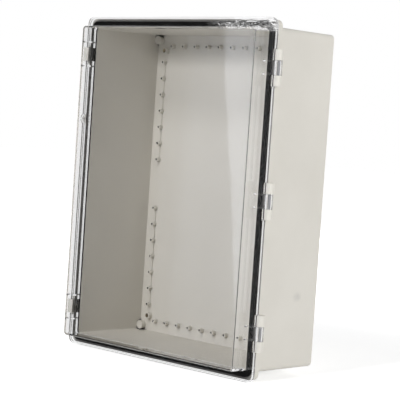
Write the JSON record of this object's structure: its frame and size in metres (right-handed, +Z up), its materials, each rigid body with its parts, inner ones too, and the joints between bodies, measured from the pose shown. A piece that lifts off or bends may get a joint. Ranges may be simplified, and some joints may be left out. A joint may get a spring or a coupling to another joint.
{
  "type": "hinged enclosure",
  "caption": "Wall-mounted rectangular box with a raised clear door hinged on its right, a rubber seal, and swing latches on its left.",
  "frame": {"origin": "centre of the flat back face, which lies against the wall", "axes": "+Z up, +X to the right as seen from the front, +Y from the door towards the wall"},
  "size_m": [0.3893, 0.162, 0.489],
  "materials": {
    "grey_polycarbonate": "fine moulded satin",
    "clear_polycarbonate": "clear gloss",
    "seal_rubber": "matte",
    "latch_plastic": "fine moulded satin",
    "steel_pin": "ground",
    "brass_insert": "turned"
  },
  "bodies": {
    "box": {"base": "grey_polycarbonate", "gasket": "seal_rubber", "hinge_pin_top": "steel_pin", "hinge_pin_middle": "steel_pin", "hinge_pin_bottom": "steel_pin", "latch_pin_upper": "steel_pin", "latch_pin_lower": "steel_pin", "panel_insert_top_left": "brass_insert", "panel_insert_top_right": "brass_insert", "panel_insert_bottom_left": "brass_insert", "panel_insert_bottom_right": "brass_insert", "wall_insert_top_left": "brass_insert", "wall_insert_top_right": "brass_insert", "wall_insert_bottom_left": "brass_insert", "wall_insert_bottom_right": "brass_insert"},
    "door": {"door": "clear_polycarbonate"},
    "latch_upper": {"latch_upper": "latch_plastic"},
    "latch_lower": {"latch_lower": "latch_plastic"}
  },
  "joints": [
    {"name": "door_swing", "type": "hinge", "parent": "box", "child": "door", "pos_m": [0.1905, -0.1315, 0], "axis": [0, 0, 1], "range_deg": [0, 170]},
    {"name": "latch_upper_swing", "type": "hinge", "parent": "box", "child": "latch_upper", "pos_m": [-0.1893, -0.1265, 0.189], "axis": [0, 0, -1], "range_deg": [0, 110]},
    {"name": "latch_lower_swing", "type": "hinge", "parent": "box", "child": "latch_lower", "pos_m": [-0.1893, -0.1265, -0.189], "axis": [0, 0, -1], "range_deg": [0, 110]}
  ]
}
